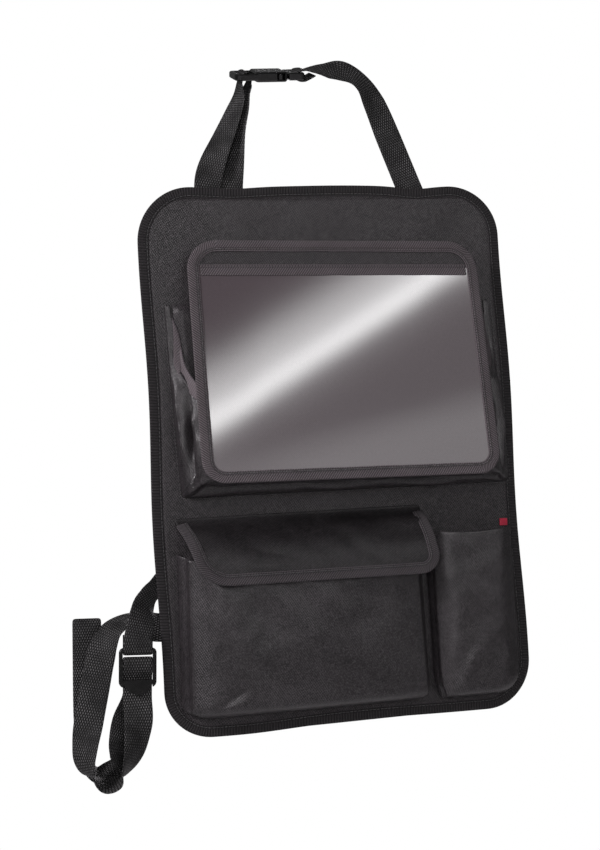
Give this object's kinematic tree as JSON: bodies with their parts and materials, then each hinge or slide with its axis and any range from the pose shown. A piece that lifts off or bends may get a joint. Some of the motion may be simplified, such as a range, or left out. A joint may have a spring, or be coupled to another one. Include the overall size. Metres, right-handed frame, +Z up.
{
  "type": "car seat back organizer",
  "caption": "Hanging fabric organizer for a car seat back with a clear-fronted tablet sleeve on a bellows pocket, a flap pocket, a slim side pocket and buckled webbing straps.",
  "frame": {"origin": "centre of the panel's flat back face, which rests on the seat back", "axes": "+X to the right as seen from the pockets, +Y back into the seat, +Z up; the pockets face -Y"},
  "size_m": [0.4963, 0.0751, 0.7528],
  "materials": {
    "panel_fabric": "matte coated polyester twill",
    "binding_tape": "ribbed binding tape",
    "webbing": "matte woven webbing",
    "fastener_tape": "napped hook and loop tape",
    "red_cloth": "matte woven tape",
    "clear_film": "clear glossy film",
    "moulded_plastic": "satin moulded"
  },
  "bodies": {
    "root": {"main_panel": "panel_fabric", "panel_binding": "binding_tape", "sleeve_back": "panel_fabric", "sleeve_binding": "binding_tape", "sleeve_window": "clear_film", "window_top_binding": "binding_tape", "tablet_pocket_backing": "panel_fabric", "tablet_gusset": "panel_fabric", "gusset_binding_left": "binding_tape", "gusset_binding_right": "binding_tape", "cargo_pocket": "panel_fabric", "side_pocket": "panel_fabric", "flap": "panel_fabric", "flap_binding": "binding_tape", "flap_hook_patch": "fastener_tape", "pocket_loop_patch": "fastener_tape", "red_tab": "red_cloth", "buckle_socket": "moulded_plastic", "buckle_plug": "moulded_plastic", "top_strap_left": "webbing", "top_strap_right": "webbing", "ladder_lock": "moulded_plastic", "lower_strap_short": "webbing", "lower_strap_long": "webbing"}
  },
  "joints": []
}
